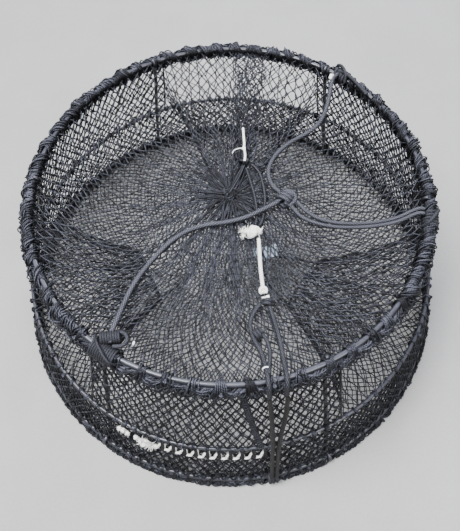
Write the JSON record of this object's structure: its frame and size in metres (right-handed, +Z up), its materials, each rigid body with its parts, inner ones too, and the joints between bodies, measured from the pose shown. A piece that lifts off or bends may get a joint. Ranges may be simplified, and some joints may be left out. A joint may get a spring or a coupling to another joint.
{
  "type": "folding crab trap",
  "caption": "Folding conical crab trap: hoops on hinged struts under knotted netting, with side entrance tunnels, a gathered top net and a rope bridle.",
  "frame": {"origin": "on the ground under the middle of the bottom ring", "axes": "+Z up; -Y is the front, where the net seam and the tie-down line run down the wall"},
  "size_m": [0.7814, 0.7844, 0.3273],
  "materials": {
    "black_vinyl": "steel rod in a glossy black vinyl coat",
    "netting": "knotted black twine",
    "black_rope": "braided black rope, faded to grey",
    "white_cotton": "twisted cotton, frayed",
    "white_plastic": "smooth nylon",
    "tag": "thin printed film, left blank"
  },
  "bodies": {
    "base": {"bottom_ring": "black_vinyl", "bottom_hem_1": "netting", "bottom_hem_2": "netting", "bottom_hem_3": "netting", "bottom_hem_4": "netting", "bottom_hem_5": "netting", "bottom_hem_6": "netting", "bottom_net": "netting", "lower_side_net": "netting", "upper_side_net_1": "netting", "upper_side_net_2": "netting", "upper_side_net_3": "netting", "side_net_seam": "netting", "tunnel_net_1": "netting", "tunnel_net_2": "netting", "tunnel_net_3": "netting", "tunnel_mouth_cord_1": "netting", "tunnel_mouth_cord_2": "netting", "tunnel_mouth_cord_3": "netting", "tunnel_tie_1": "black_rope", "tunnel_tie_2": "black_rope", "tunnel_tie_3": "black_rope", "tie_down_wall_a": "black_rope", "tie_down_wall_b": "black_rope", "tie_down_knot": "black_rope", "rot_cord": "white_cotton", "rot_cord_knot": "white_cotton"},
    "mid_hoop": {"mid_ring": "black_vinyl"},
    "top_hoop": {"top_ring": "black_vinyl", "top_hem": "netting", "top_net": "netting", "purse_gather": "netting", "bridle_knot": "black_rope", "bridle_leg_1": "black_rope", "bridle_leg_2": "black_rope", "bridle_leg_3a": "black_rope", "bridle_leg_3b": "black_rope", "bridle_hitch_1": "black_rope", "bridle_hitch_2": "black_rope", "bridle_hitch_3": "black_rope", "closure_cord_a": "black_rope", "closure_cord_b": "black_rope", "closure_knot": "black_rope", "cotton_knot": "white_cotton", "cotton_cord": "white_cotton", "cable_tie_long": "white_plastic", "cable_tie_short": "white_plastic", "tag": "tag", "tie_down_top_a": "black_rope", "tie_down_top_b": "black_rope"},
    "strut_1": {"strut_1": "black_vinyl"},
    "strut_2": {"strut_2": "black_vinyl"},
    "strut_3": {"strut_3": "black_vinyl"},
    "strut_4": {"strut_4": "black_vinyl"},
    "strut_5": {"strut_5": "black_vinyl"},
    "strut_6": {"strut_6": "black_vinyl"}
  },
  "joints": [
    {"name": "top_ring_drop", "type": "slide", "parent": "base", "child": "top_hoop", "axis": [0, 0, -1], "range_m": [0, 0.2594], "deforming": ["lower_side_net", "upper_side_net_1", "upper_side_net_2", "upper_side_net_3", "side_net_seam", "tunnel_net_1", "tunnel_net_2", "tunnel_net_3", "tunnel_mouth_cord_1", "tunnel_mouth_cord_2", "tunnel_mouth_cord_3", "tunnel_tie_1", "tunnel_tie_2", "tunnel_tie_3", "tie_down_wall_a", "tie_down_wall_b", "rot_cord", "rot_cord_knot", "top_net", "bridle_leg_1", "bridle_knot", "cotton_knot", "cotton_cord", "closure_cord_b", "tag"]},
    {"name": "mid_ring_drop", "type": "slide", "parent": "base", "child": "mid_hoop", "axis": [0, 0, -1], "range_m": [0, 0.107]},
    {"name": "strut_1_fold", "type": "hinge", "parent": "base", "child": "strut_1", "pos_m": [0.22395, 0.30823, 0.014], "axis": [0.809, -0.5878, 0], "range_deg": [0, 75]},
    {"name": "strut_2_fold", "type": "hinge", "parent": "base", "child": "strut_2", "pos_m": [-0.15497, 0.34806, 0.014], "axis": [0.9135, 0.4067, 0], "range_deg": [0, 75]},
    {"name": "strut_3_fold", "type": "hinge", "parent": "base", "child": "strut_3", "pos_m": [-0.37891, 0.03982, 0.014], "axis": [0.1045, 0.9945, 0], "range_deg": [0, 75]},
    {"name": "strut_4_fold", "type": "hinge", "parent": "base", "child": "strut_4", "pos_m": [-0.22395, -0.30823, 0.014], "axis": [-0.809, 0.5878, 0], "range_deg": [0, 75]},
    {"name": "strut_5_fold", "type": "hinge", "parent": "base", "child": "strut_5", "pos_m": [0.15497, -0.34806, 0.014], "axis": [-0.9135, -0.4067, 0], "range_deg": [0, 75]},
    {"name": "strut_6_fold", "type": "hinge", "parent": "base", "child": "strut_6", "pos_m": [0.37891, -0.03982, 0.014], "axis": [-0.1045, -0.9945, 0], "range_deg": [0, 75]}
  ],
  "couplings": [
    {"joint": "mid_ring_drop", "follows": "top_ring_drop", "ratio": 0.40875},
    {"joint": "strut_1_fold", "follows": "top_ring_drop", "rad_per_m": 5.01},
    {"joint": "strut_2_fold", "follows": "top_ring_drop", "rad_per_m": 5.01},
    {"joint": "strut_3_fold", "follows": "top_ring_drop", "rad_per_m": 5.01},
    {"joint": "strut_4_fold", "follows": "top_ring_drop", "rad_per_m": 5.01},
    {"joint": "strut_5_fold", "follows": "top_ring_drop", "rad_per_m": 5.01},
    {"joint": "strut_6_fold", "follows": "top_ring_drop", "rad_per_m": 5.01}
  ]
}
